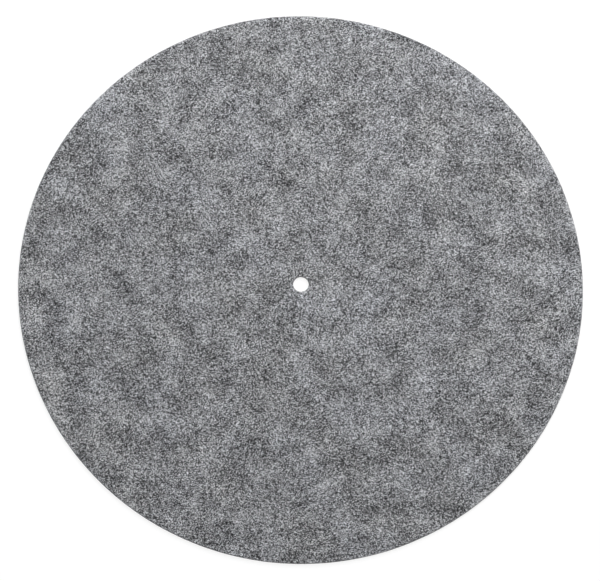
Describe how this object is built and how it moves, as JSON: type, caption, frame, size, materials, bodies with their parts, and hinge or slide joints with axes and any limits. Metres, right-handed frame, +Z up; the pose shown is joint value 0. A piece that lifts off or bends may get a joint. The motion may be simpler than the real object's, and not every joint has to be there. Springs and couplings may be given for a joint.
{
  "type": "felt turntable mat",
  "caption": "Flat round mat of marled grey pressed felt with a central spindle hole, laid on a record player's platter to cushion and drive the record.",
  "frame": {"origin": "centre of the underside, on the axis of the spindle hole", "axes": "+Z up out of the face that carries the record, along the spindle's axis; X and Y in the plane of the mat, which is round"},
  "size_m": [0.295, 0.295, 0.002],
  "materials": {
    "felt": "matte pressed felt, marled mid grey with pale and charcoal fibres and a short nap"
  },
  "bodies": {
    "root": {"felt_mat": "felt"}
  },
  "joints": []
}
